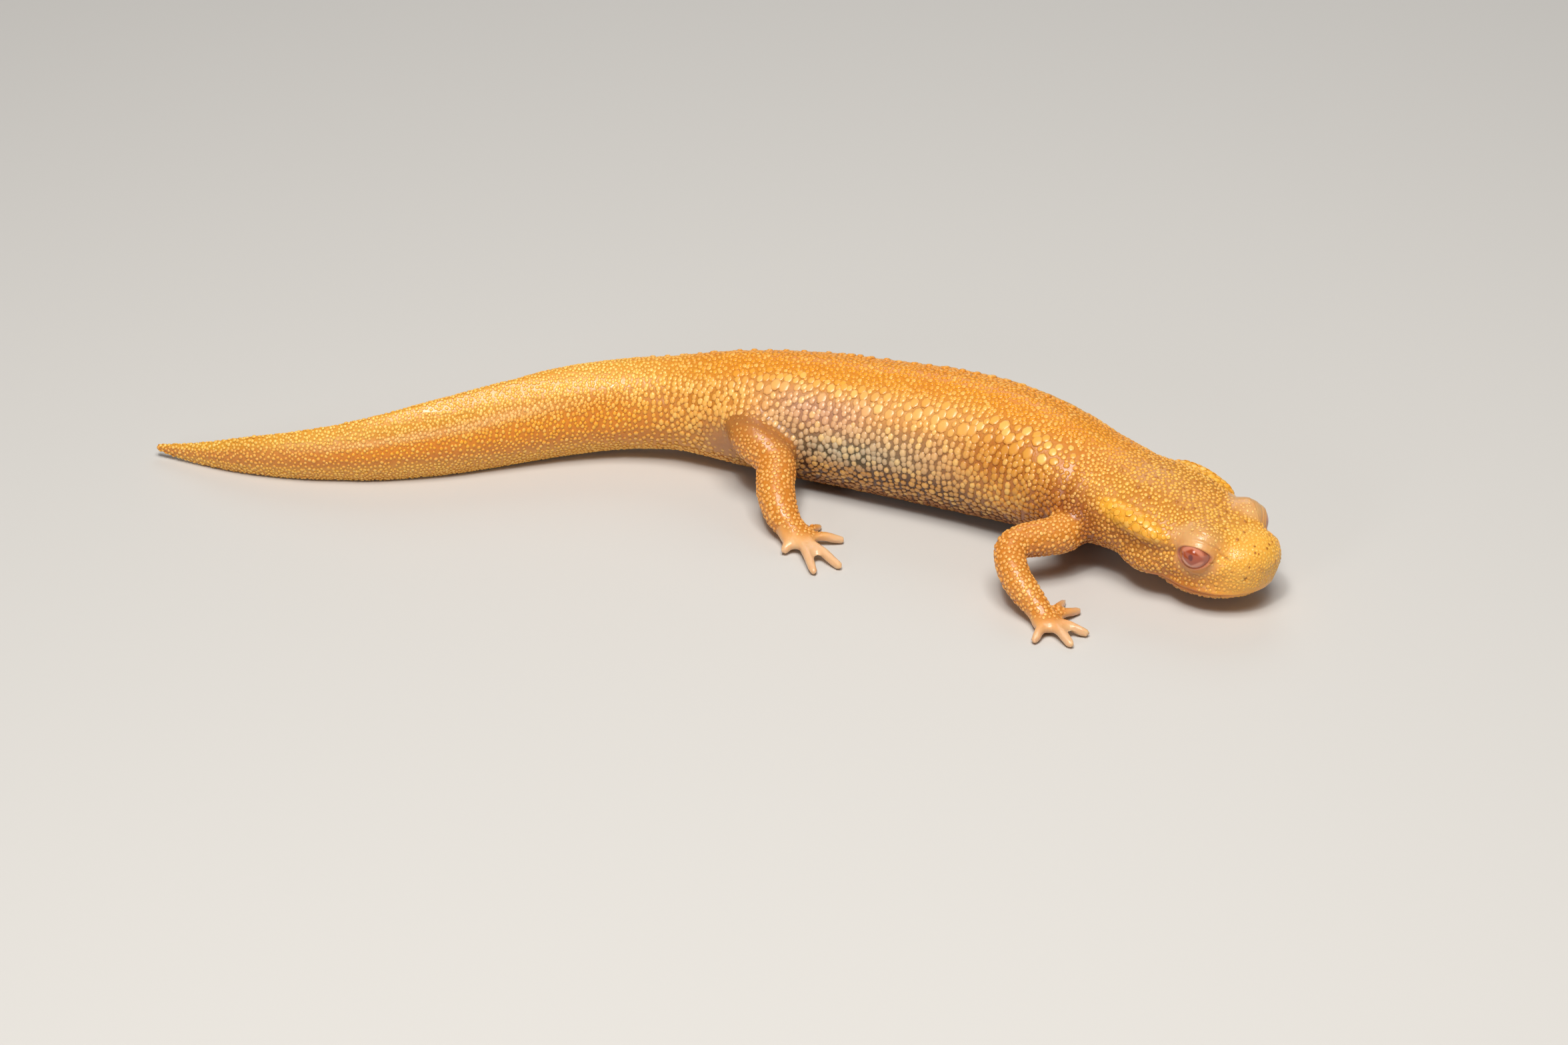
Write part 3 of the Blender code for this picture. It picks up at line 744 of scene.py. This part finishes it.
PORE_SCALE, WRINKLE_SCALE = 3600.0, 1500.0
PORE_DEPTH = 0.05
skin_mesh.shade_smooth()
skin_finish, skin_tree, skin_shader = finish(
    "moist_skin",
    Roughness=0.34,
    Subsurface_Weight=0.35,
    Subsurface_Radius=(1.0, 0.42, 0.16),
    Subsurface_Scale=0.0006,
    Coat_Weight=0.25,
    Coat_Roughness=0.16,
)
for name, (mask, groove_colour, granule_colour) in MARKINGS_AND_PAINTED_LIGHT.items():
    store(skin_mesh, name, np.clip(mask, 0, 1))
groove, granule = mask_colours(skin_tree)
skin_tree.links.new(mottled(skin_tree, groove), skin_shader.inputs["Base Color"])
place = skin_tree.nodes.new("ShaderNodeTexCoord").outputs["Object"]
pores = node(skin_tree, "ShaderNodeTexVoronoi", Vector=place, Scale=PORE_SCALE)
wrinkled = node(skin_tree, "ShaderNodeTexNoise", Vector=place, Scale=WRINKLE_SCALE, Detail=5.0)
rough = worked(skin_tree, "ADD", pores.outputs["Distance"], wrinkled.outputs["Fac"])
bump = node(skin_tree, "ShaderNodeBump", Height=rough, Strength=0.35, Distance=PORE_DEPTH * MM)
skin_tree.links.new(bump.outputs[0], skin_shader.inputs["Normal"])
skin_mesh.materials.clear()
skin_mesh.materials.append(skin_finish)
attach(skin, "root")
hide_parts(*FLESH)

# ---------------------------------------------------------------------------------------------
# The coat: the skin's granules, small moist domes packed over the whole newt. They stand in upright
# rows on the flanks, are largest along the upper flank and finest on the snout, and make a low ridge
# along the left of the back. The lids, lips and toes stay bare. Each dome is set into the skin.
# ---------------------------------------------------------------------------------------------

DOME_SIDES = 7
DOME_RINGS = ((1.12, -0.35), (0.98, 0.34), (0.64, 0.84))  # radius and height, where a granule has 1 and 1
DOME_UNEVEN = 0.10
PATCH = 0.003  # how much of its coat's unwrap a granule takes, side to side
SCATTER_PER_MM2 = 48
SEED = 7
GRANULE_HALF = {
    # half the width of the granules, in millimetres
    "elsewhere": 0.185,
    "flank": 0.29,
    "back": 0.22,
    "belly": 0.26,
    "head": 0.18,
    "gland": 0.32,
    "snout": 0.135,
    "ridge": 0.29,
}
SIZE_VARIES = 0.12
BIG_SHARE, BIG_GROWTH = 0.045, 0.5  # the yellow lumps among the upper flank's granules
ROW_APART = 0.78
RIDGE_APART = 1.4
RIDGE_ANGLE, RIDGE_HALF = 63, 4  # in degrees round the body
PACKING = 1.64  # how far apart the granules stand, in half widths
HEAD_APART, LOW_TAIL_APART, LIMB_APART = 0.20, 0.62, 0.20  # and this much further there
PALE_TOP = (0.97, 0.64, 0.20)
PIT_BROWN = (0.46, 0.17, 0.025)

# The coat's finish: pale, pearly tops over the grooves' colour, each granule a little different, and
# a few brown ones on the head. Every granule has a tint of its own, from zero to one
coat_finish, coat_tree, coat_shader = finish(
    "moist_granules",
    Roughness=0.30,
    Subsurface_Weight=0.12,
    Subsurface_Radius=(1.0, 0.5, 0.2),
    Subsurface_Scale=0.00012,
    Specular_IOR_Level=0.35,
    Coat_Weight=0.22,
    Coat_Roughness=0.12,
)
groove, granule = mask_colours(coat_tree)
tint = kept_value(coat_tree, "tint")
granule = mixed(coat_tree, tint, mixed(coat_tree, 0.30, granule, groove), granule)
granule = mixed(coat_tree, ramp(coat_tree, tint, 0.70, 1.0, 0.45), granule, PALE_TOP)
pit = worked(coat_tree, "MULTIPLY", ramp(coat_tree, tint, 0.065, 0.050), kept_value(coat_tree, "head"))
granule = mixed(coat_tree, pit, granule, PIT_BROWN)
colour = mixed(coat_tree, ramp(coat_tree, kept_value(coat_tree, "rise"), 0.05, 0.80), groove, granule)
coat_tree.links.new(mottled(coat_tree, colour), coat_shader.inputs["Base Color"])

# One granule, with how high each of its points stands
dome_shape = bmesh.new()
rings = []
for radius, height in DOME_RINGS:
    turns = [2 * math.pi * k / DOME_SIDES for k in range(DOME_SIDES)]
    uneven = [1 + DOME_UNEVEN * math.sin(2 * turn + 1) for turn in turns]
    rings.append(
        [
            dome_shape.verts.new((radius * u * math.cos(t), radius * u * math.sin(t), height))
            for t, u in zip(turns, uneven)
        ]
    )
for lower, upper in zip(rings, rings[1:]):
    for k in range(DOME_SIDES):
        n = (k + 1) % DOME_SIDES
        dome_shape.faces.new((lower[k], lower[n], upper[n], upper[k]))
top = dome_shape.verts.new((0, 0, 1))
for k in range(DOME_SIDES):
    dome_shape.faces.new((rings[-1][k], rings[-1][(k + 1) % DOME_SIDES], top))
dome_shape.faces.new(list(reversed(rings[0])))
dome_mesh = bpy.data.meshes.new("granule")
dome_shape.to_mesh(dome_mesh)
dome_shape.free()
dome_mesh.shade_smooth()
dome_places = np.array([list(vert.co) for vert in dome_mesh.vertices])
store(dome_mesh, "rise", np.clip(dome_places[:, 2], 0, 1))
store(dome_mesh, "dome_place", dome_places * (1, 1, 0) / DOME_RINGS[0][0], "FLOAT_VECTOR")
dome = bpy.data.objects.new("granule", dome_mesh)
dome_mesh.materials.append(coat_finish)

# A thick scatter of places on the skin, with all that is known of each
skin_mesh.calc_loop_triangles()
corners = np.empty(len(skin_mesh.loop_triangles) * 3, np.int32)
skin_mesh.loop_triangles.foreach_get("vertices", corners)
corners = corners.reshape(-1, 3)
a, b, c = (points[corners[:, k]] for k in range(3))
areas = np.linalg.norm(np.cross(b - a, c - a), axis=1) / 2
dice = np.random.default_rng(SEED)
count = int(areas.sum() * SCATTER_PER_MM2)
chosen = corners[dice.choice(len(corners), count, p=areas / areas.sum())]
u, v = dice.random(count), dice.random(count)
flip = u + v > 1
u[flip], v[flip] = 1 - u[flip], 1 - v[flip]
weights = np.stack([1 - u - v, u, v], axis=1)


def scattered(values):
    """The value at each scattered place."""
    values = np.asarray(values, float)
    if values.ndim == 1:
        return (values[chosen] * weights).sum(1)
    return (values[chosen] * weights[:, :, None]).sum(1)


places = scattered(points)
facing = scattered(out)
facing /= np.linalg.norm(facing, axis=1)[:, None]
along, angle = body_places(places)
high = np.degrees(np.arcsin(np.sin(np.radians(angle))))
in_trunk, in_limb, head_share = scattered(TRUNK), scattered(limb), scattered(on_head)
nearly_bare = [bare, 0.8 * eye_rim, 0.8 * nostrils, 0.62 * limb_root, 0.75 * groin]
bareness = scattered(np.maximum.reduce(nearly_bare))
gland_share, back_share = scattered(gland), scattered(MARKINGS_AND_PAINTED_LIGHT["back"][0])
head_there = in_head(places)

flank = in_trunk * (1 - in_limb) * step(-60, -35, high) * step(66, 50, high)
upright = step(20, 34, along) * step(93, 88, along) * (1 - in_limb)  # how far the granules stand in rows
upright *= step(-62, -38, high) * step(74, 58, high)
low_tail = step(56, 48, along) * (1 - in_limb) * step(-60, -40, high) * step(26, 8, high)
lump_row = 57 - 14 * step(62, 84, along)  # how high the row of large lumps lies
upper_flank = in_trunk * (1 - in_limb) * bell(high, lump_row, 12) * step(54, 60, along)
on_ridge = (np.abs(angle - RIDGE_ANGLE) < RIDGE_HALF) * step(44, 54, along) * step(93, 88, along)
ridge_lump = on_ridge * (np.abs(along / RIDGE_APART - np.round(along / RIDGE_APART)) < 0.06)
on_snout = step(0.0, 4.0, head_there[:, 0]) * head_share

half = np.full(count, GRANULE_HALF["elsewhere"])
for region, share in (
    ("flank", flank),
    ("back", back_share * in_trunk),
    ("belly", step(-40, -60, high) * in_trunk),
    ("head", head_share),
    ("gland", gland_share),
    ("snout", on_snout),
):
    half = half + share * (GRANULE_HALF[region] - half)
half *= 1 - 0.15 * step(60, 30, along) * (1 - in_limb)
big = (dice.random(count) < BIG_SHARE) * (upper_flank > 0.35)
half = half * (1 + BIG_GROWTH * big) * dice.normal(1.0, SIZE_VARIES, count).clip(0.7, 1.25)
half = np.where(ridge_lump > 0.5, GRANULE_HALF["ridge"], half)
wander = along + 0.13 * np.sin(high / 11 + 1.7 * along) + 0.08 * np.sin(high / 5 - 0.9 * along)
rows = np.abs(wander / ROW_APART - np.round(wander / ROW_APART)) * upright
priority = rows * 1.8 + dice.random(count) * (1 - 0.65 * upright) - 2.0 * big - 3.0 * ridge_lump
NEVER = 9
priority[bareness > 0.25 + 0.4 * dice.random(count)] = NEVER

# The places are taken in turn, and each one taken leaves no room for others near it
taken = np.zeros(count, bool)
near_places = KDTree(count)
for k in range(count):
    near_places.insert(places[k], k)
near_places.balance()
packing = PACKING + HEAD_APART * head_share + LOW_TAIL_APART * low_tail + LIMB_APART * in_limb
seeds = []
for k in np.argsort(priority, kind="stable"):
    if priority[k] == NEVER:
        break
    if taken[k]:
        continue
    seeds.append(k)
    for _, other, _ in near_places.find_range(places[k], packing[k] * half[k]):
        taken[other] = True
seeds = np.array(seeds)

# The tree that sets a granule at every place, lifts it out of the skin and gives it a small patch of
# the coat's unwrap round its root
COAT_TREE = bpy.data.node_groups.new("granules", "GeometryNodeTree")
for name, kind, way in (
    ("Places", "NodeSocketGeometry", "INPUT"),
    ("Granule", "NodeSocketObject", "INPUT"),
    ("Patch", "NodeSocketFloat", "INPUT"),
    ("Unevenness", "NodeSocketFloat", "INPUT"),
    ("Seed", "NodeSocketInt", "INPUT"),
    ("Finish", "NodeSocketMaterial", "INPUT"),
    ("Coat", "NodeSocketGeometry", "OUTPUT"),
):
    COAT_TREE.interface.new_socket(name, in_out=way, socket_type=kind)


def kept(tree, name):
    """A vector kept for each point."""
    settings = {"data_type": "FLOAT_VECTOR"}
    return node(tree, "GeometryNodeInputNamedAttribute", settings, Name=name).outputs["Attribute"]


def scaled(tree, vector, scale):
    return node(tree, "ShaderNodeVectorMath", {"operation": "SCALE"}, _0=vector, Scale=scale).outputs[0]


given = COAT_TREE.nodes.new("NodeGroupInput").outputs
upright_turn = node(
    COAT_TREE,
    "FunctionNodeAxesToRotation",
    {"primary_axis": "Z", "secondary_axis": "Y"},
    _0=kept(COAT_TREE, "facing"),
    _1=kept(COAT_TREE, "long_way"),
)
uneven_size = node(
    COAT_TREE,
    "FunctionNodeRandomValue",
    {"data_type": "FLOAT"},
    _2=worked(COAT_TREE, "SUBTRACT", 1.0, given["Unevenness"]),
    _3=worked(COAT_TREE, "ADD", 1.0, given["Unevenness"]),
    Seed=given["Seed"],
)
dotted = node(
    COAT_TREE,
    "GeometryNodeInstanceOnPoints",
    Points=given["Places"],
    Instance=node(COAT_TREE, "GeometryNodeObjectInfo", Object=given["Granule"]).outputs["Geometry"],
    Rotation=upright_turn.outputs[0],
    Scale=scaled(COAT_TREE, kept(COAT_TREE, "size"), uneven_size.outputs[1]),
)
real = node(COAT_TREE, "GeometryNodeRealizeInstances", Geometry=dotted.outputs[0])
half_patch = worked(COAT_TREE, "MULTIPLY", given["Patch"], 0.5)
mapped = node(
    COAT_TREE,
    "ShaderNodeVectorMath",
    {"operation": "ADD"},
    _0=kept(COAT_TREE, "root_place"),
    _1=scaled(COAT_TREE, kept(COAT_TREE, "dome_place"), half_patch),
)
baked = node(
    COAT_TREE,
    "GeometryNodeStoreNamedAttribute",
    {"data_type": "FLOAT2", "domain": "CORNER"},
    Geometry=real.outputs[0],
    Name="OFBake",
    Value=mapped.outputs[0],
)
dressed = node(COAT_TREE, "GeometryNodeSetMaterial", Geometry=baked.outputs[0], Material=given["Finish"])
COAT_TREE.links.new(dressed.outputs[0], COAT_TREE.nodes.new("NodeGroupOutput").inputs["Coat"])

# Which way each granule is drawn out, and its size
nearest = ((places[:, None, :2] - spine[None, ::4, :2]) ** 2).sum(2).argmin(1) * 4
round_body = np.cross(spine_heading[nearest], facing)
random_way = dice.normal(size=(count, 3))
long_way = round_body * (0.25 + upright)[:, None] + random_way * (0.9 - 0.75 * upright)[:, None]
stretch = 1 + 0.35 * upright * step(-30, 0, high) + 0.1 * dice.random(count)
height_share = 0.56 - 0.12 * flank - 0.26 * back_share
height_share = np.where(ridge_lump > 0.5, 0.70, height_share) * (1 - 0.58 * big)
heights = half * height_share * (1 - 0.45 * on_snout)
heights *= 1 - 0.75 * step(0.05, 0.5, bareness)
heights *= (1 - 0.68 * gland_share) * (1 - 0.10 * in_limb)
sizes = np.stack([half, half * stretch, heights], axis=1)
sizes[:, :2] *= (1 - 0.35 * step(0.0, 0.5, bareness))[:, None]
tints = dice.random(count)
tints = np.where((gland_share > 0.1) | (bareness > 0.05), 0.1 + 0.9 * tints, tints)  # no pits there

# The coat is parted into nine pieces, and each has an unwrap of its own
TAIL_END, HIPS_START, FLANK_START, FLANK_PARTED, NECK_START = 28, 50, 62, 77, 92  # along the spine
BELLY_TOP = -15  # in degrees above the side's middle


def between(start, end):
    return (along >= start) & (along < end)


off_legs = in_limb < 0.5
on_body = off_legs & (head_share < 0.5)
COATS = (
    # name, whether a place belongs to it
    ("coat_tail_end", off_legs & (along < TAIL_END)),
    ("coat_tail", off_legs & between(TAIL_END, HIPS_START)),
    ("coat_hips", off_legs & between(HIPS_START, FLANK_START)),
    ("coat_belly", on_body & between(FLANK_START, NECK_START) & (high < BELLY_TOP)),
    ("coat_flank_rear", on_body & between(FLANK_START, FLANK_PARTED) & (high >= BELLY_TOP)),
    ("coat_flank_front", on_body & between(FLANK_PARTED, NECK_START) & (high >= BELLY_TOP)),
    ("coat_neck", on_body & (along >= NECK_START)),
    ("coat_head", off_legs & (head_share >= 0.5)),
    ("coat_legs", ~off_legs),
)
MASKS = {name: scattered(np.clip(values[0], 0, 1)) for name, values in MARKINGS_AND_PAINTED_LIGHT.items()}
HEAD_MIDDLE = np.array(brow) + HEAD.T @ np.array((-3.0, 0, -1.5))
LEG_MIDDLES = np.array([box_middle(name) for name in FLESH if name.startswith(("forearm", "shin"))])
LEG_SPAN = 24  # a leg's coat, from end to end
MARGIN = 0.01  # round each sheet of an unwrap


def unwrapped(name, chosen_places, chosen_along, chosen_angle):
    """Places on a coat's own unwrap: round the body and along it, round the head's middle, or for the
    legs a quarter of the sheet each, round an upright line through the shin or forearm."""
    if name == "coat_head":
        way = (chosen_places - HEAD_MIDDLE) @ HEAD.T
        way /= np.linalg.norm(way, axis=1)[:, None]
        reach = np.sqrt((1 - way[:, 0]) / 2) * (0.5 - MARGIN)
        turn = np.arctan2(way[:, 2], way[:, 1])
        return np.stack([0.5 + reach * np.cos(turn), 0.5 + reach * np.sin(turn)], axis=1)
    if name == "coat_legs":
        leg = ((chosen_places[:, None, :2] - LEG_MIDDLES[None, :, :2]) ** 2).sum(2).argmin(1)
        offset = chosen_places - LEG_MIDDLES[leg]
        turn = np.degrees(np.arctan2(offset[:, 1], offset[:, 0]))
        reach = np.linalg.norm(offset, axis=1) * np.sign(offset[:, 2])
        sheet = np.stack([(turn + 180) / 360, reach / LEG_SPAN + 0.5], axis=1)
        corner = np.stack([leg % 2, leg // 2], axis=1) / 2
        return np.clip(corner + 2 * MARGIN + (0.5 - 4 * MARGIN) * sheet, MARGIN, 1 - MARGIN)
    start, end = chosen_along.min(), chosen_along.max()
    sheet = np.stack([(chosen_along - start) / (end - start), (chosen_angle + 180) / 360], axis=1)
    return MARGIN + (1 - 2 * MARGIN) * sheet


for name, belongs in COATS:
    picked = seeds[belongs[seeds]]
    roots = bpy.data.meshes.new(name)
    roots.vertices.add(len(picked))
    roots.vertices.foreach_set("co", (places[picked] * MM).astype(np.float32).ravel())
    store(roots, "facing", facing[picked], "FLOAT_VECTOR")
    store(roots, "long_way", long_way[picked], "FLOAT_VECTOR")
    store(roots, "size", sizes[picked] * MM, "FLOAT_VECTOR")
    sheet = unwrapped(name, places[picked], along[picked], angle[picked])
    store(roots, "root_place", np.hstack([sheet, np.zeros((len(picked), 1))]), "FLOAT_VECTOR")
    store(roots, "tint", tints[picked])
    for mask, values in MASKS.items():
        store(roots, mask, values[picked])
    coat = bpy.data.objects.new(name, roots)
    bpy.context.scene.collection.objects.link(coat)
    grow = coat.modifiers.new("granules", "NODES")
    grow.node_group = COAT_TREE
    settings = {"Granule": dome, "Patch": PATCH, "Unevenness": SIZE_VARIES}
    settings |= {"Seed": SEED, "Finish": coat_finish}
    for socket in COAT_TREE.interface.items_tree:
        if socket.name in settings:
            grow[socket.identifier] = settings[socket.name]
    mesh = bpy.data.meshes.new_from_object(coat.evaluated_get(bpy.context.evaluated_depsgraph_get()))
    coat.modifiers.remove(grow)
    coat.data = mesh
    for helper in ("facing", "long_way", "size", "root_place", "dome_place"):
        if helper in mesh.attributes:
            mesh.attributes.remove(mesh.attributes[helper])
    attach(coat, "root")

# ---------------------------------------------------------------------------------------------
# The eyes: wet red balls, set deep in the head. A red-brown diamond lies across each, with a pale
# pink arc above it and one below, and a small dark red pupil at its middle.
# ---------------------------------------------------------------------------------------------

EYE_SIDES, EYE_RINGS = 64, 40
CORNEA_RISE, CORNEA_SPREAD = 0.16, (0.6, 1.0)
GAZE_RISE = math.radians(5)
EYE_RED, EYE_RIM_RED = (0.40, 0.105, 0.05), (0.28, 0.08, 0.04)
ARC_PINK = (0.68, 0.25, 0.15)
DIAMOND_RED = (0.40, 0.070, 0.022)
PUPIL_RED = (0.16, 0.010, 0.006)
BALL_HALF, ARCS_HALF = (1.5, 1.5), (1.12, 0.95)
DIAMOND_HALF, PUPIL_HALF = (1.06, 0.80), (0.24, 0.33)
DIAMOND_POWER = 1.15  # one would give straight sides, and two an oval

eye_finish, eye_tree, eye_shader = finish(
    "wet_eye",
    Roughness=0.12,
    Coat_Weight=1.0,
    Coat_Roughness=0.03,
    Subsurface_Weight=0.15,
    Subsurface_Scale=0.0004,
)
gaze_ahead, gaze_up = kept_value(eye_tree, "gaze_ahead"), kept_value(eye_tree, "gaze_up")


def past_oval(half, edge, power=2.0):
    """Zero where the soft edge of an oval with these half axes starts, and one where it ends."""
    shares = []
    for place, reach in zip((gaze_ahead, gaze_up), half):
        share = worked(eye_tree, "ABSOLUTE", worked(eye_tree, "DIVIDE", place, reach))
        shares.append(worked(eye_tree, "POWER", share, power))
    return ramp(eye_tree, worked(eye_tree, "ADD", *shares), *edge, kind="SMOOTHSTEP")


off_middle = ramp(eye_tree, worked(eye_tree, "ABSOLUTE", gaze_up), 0.12, 0.42, kind="SMOOTHSTEP")
arcs = worked(eye_tree, "MULTIPLY", past_oval(ARCS_HALF, (1.25, 0.85)), off_middle)
eye_colour = mixed(eye_tree, past_oval(BALL_HALF, (0.6, 1.3)), EYE_RED, EYE_RIM_RED)
eye_colour = mixed(eye_tree, arcs, eye_colour, ARC_PINK)
eye_colour = mixed(eye_tree, past_oval(DIAMOND_HALF, (1.16, 0.86), DIAMOND_POWER), eye_colour, DIAMOND_RED)
eye_colour = mixed(eye_tree, past_oval(PUPIL_HALF, (1.5, 0.3)), eye_colour, PUPIL_RED)
eye_tree.links.new(eye_colour, eye_shader.inputs["Base Color"])

for side, left in BOTH_SIDES:
    ball = bmesh.new()
    bmesh.ops.create_uvsphere(ball, u_segments=EYE_SIDES, v_segments=EYE_RINGS, radius=1)
    look = eye_turn(left, EYE_FORWARD[side], GAZE_RISE)
    eye_mesh = bpy.data.meshes.new(f"wet_eye_{side}")
    ball.to_mesh(eye_mesh)
    ball.free()
    ways = np.array([list(vert.co) for vert in eye_mesh.vertices])
    turned = np.stack([ways[:, 0] * -left, ways[:, 2] * left, ways[:, 1]], axis=1)  # its poles face sideways
    reach = EYE_RADIUS + CORNEA_RISE * step(*CORNEA_SPREAD, turned[:, 1] * left)
    turned = turned * reach[:, None]
    set_points(eye_mesh, np.array(EYE_CENTRES[side]) + turned @ look.T @ HEAD)
    eye_mesh.shade_smooth()
    eye_mesh.materials.append(eye_finish)
    store(eye_mesh, "gaze_ahead", turned[:, 0])
    store(eye_mesh, "gaze_up", turned[:, 2])
    eye = bpy.data.objects.new(f"wet_eye_{side}", eye_mesh)
    bpy.context.scene.collection.objects.link(eye)
    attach(eye, "root")
    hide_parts(f"eye_{side}")
